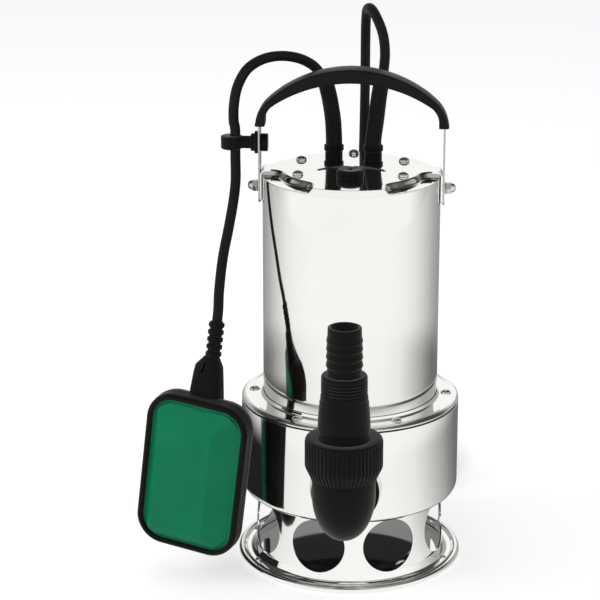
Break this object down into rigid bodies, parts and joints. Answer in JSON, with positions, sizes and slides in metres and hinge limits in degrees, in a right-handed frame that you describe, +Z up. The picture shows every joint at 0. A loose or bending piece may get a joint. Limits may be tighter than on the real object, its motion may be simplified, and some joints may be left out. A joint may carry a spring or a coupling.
{
  "type": "submersible sump pump",
  "caption": "Submersible sump pump with stainless drum and motor shell, strainer foot, black stepped hose outlet, arched grip and a green float switch on its cable.",
  "frame": {"origin": "on the pump axis, at the floor under the base plate", "axes": "+Z up along the pump axis; the outlet faces -Y; the handle's pivot axis is X"},
  "size_m": [0.246, 0.4153, 0.4193],
  "materials": {
    "polished_steel": "bright polished stainless sheet",
    "stamped_steel": "pressed stainless sheet, satin",
    "screw_steel": "plain steel fasteners",
    "black_plastic": "moulded black plastic",
    "grip_plastic": "fine grained black plastic",
    "cable_rubber": "black rubber sheath",
    "float_green": "dark green moulded plastic",
    "cast_aluminium": "cast aluminium",
    "cast_iron": "dark cast iron",
    "copper_core": "varnished laminations and windings",
    "shaft_steel": "ground steel"
  },
  "bodies": {
    "pump": {"base_plate": "stamped_steel", "base_screw_1": "screw_steel", "base_screw_2": "screw_steel", "base_screw_3": "screw_steel", "base_screw_4": "screw_steel", "bearing_bracket": "cast_aluminium", "cover_screw_1": "screw_steel", "cover_screw_2": "screw_steel", "cover_screw_3": "screw_steel", "cover_screw_4": "screw_steel", "cover_screw_5": "screw_steel", "cover_screw_6": "screw_steel", "float_cable_gland": "black_plastic", "float_cable_sleeve": "cable_rubber", "float_cable_upper": "cable_rubber", "hose_adapter": "black_plastic", "housing_cover": "stamped_steel", "lid_screw_1": "screw_steel", "lid_screw_2": "screw_steel", "lid_screw_3": "screw_steel", "lid_screw_4": "screw_steel", "lid_screw_5": "screw_steel", "lid_screw_6": "screw_steel", "lower_bearing": "shaft_steel", "motor_flange": "cast_aluminium", "motor_shell": "polished_steel", "outlet_collar": "black_plastic", "outlet_elbow": "black_plastic", "pivot_bolt_left": "screw_steel", "pivot_bolt_right": "screw_steel", "power_cable_gland": "black_plastic", "power_cable_sleeve": "cable_rubber", "power_cord": "cable_rubber", "power_cord_coil": "cable_rubber", "power_plug": "black_plastic", "pump_housing": "polished_steel", "shaft_seal": "cable_rubber", "stator": "copper_core", "strainer_skirt": "polished_steel", "suction_plate": "cast_iron", "top_lid": "stamped_steel", "upper_bearing": "shaft_steel", "vent_plug": "black_plastic", "volute_casing": "cast_iron"},
    "rotor": {"rotor_shaft": "shaft_steel", "rotor_core": "cast_iron", "impeller": "cast_iron"},
    "handle": {"strap_left": "polished_steel", "strap_right": "polished_steel", "grip": "grip_plastic", "clip_cap": "black_plastic"},
    "clip": {"cable_clip": "black_plastic"},
    "float": {"float_cable_lower": "cable_rubber", "float_strain_relief": "black_plastic", "float_case": "black_plastic", "float_panel_front": "float_green", "float_panel_back": "float_green", "float_switch": "grip_plastic"},
    "ball": {"switch_ball": "shaft_steel"},
    "nut": {"union_nut": "black_plastic"}
  },
  "joints": [
    {"name": "rotor_spin", "type": "hinge", "parent": "pump", "child": "rotor", "pos_m": [0, 0, 0.2], "axis": [0, 0, 1], "continuous": true},
    {"name": "handle_swing", "type": "hinge", "parent": "pump", "child": "handle", "pos_m": [0, 0, 0.295], "axis": [1, 0, 0], "range_deg": [-10, 40], "deforming": ["float_cable_upper"]},
    {"name": "clip_swivel", "type": "hinge", "parent": "handle", "child": "clip", "pos_m": [-0.072, 0, 0.328], "axis": [1, 0, 0], "range_deg": [-40, 10]},
    {"name": "float_swing", "type": "hinge", "parent": "clip", "child": "float", "pos_m": [-0.0946, 0, 0.3225], "axis": [0, 1, 0], "range_deg": [0, 135]},
    {"name": "switch_ball_roll", "type": "slide", "parent": "float", "child": "ball", "axis": [0.1168, -0.0348, 0.9925], "range_m": [0, 0.02]},
    {"name": "union_nut_turn", "type": "hinge", "parent": "pump", "child": "nut", "pos_m": [0, -0.1158, 0.125], "axis": [0, 0, 1], "continuous": true}
  ],
  "couplings": [
    {"joint": "clip_swivel", "follows": "handle_swing", "ratio": -1}
  ]
}
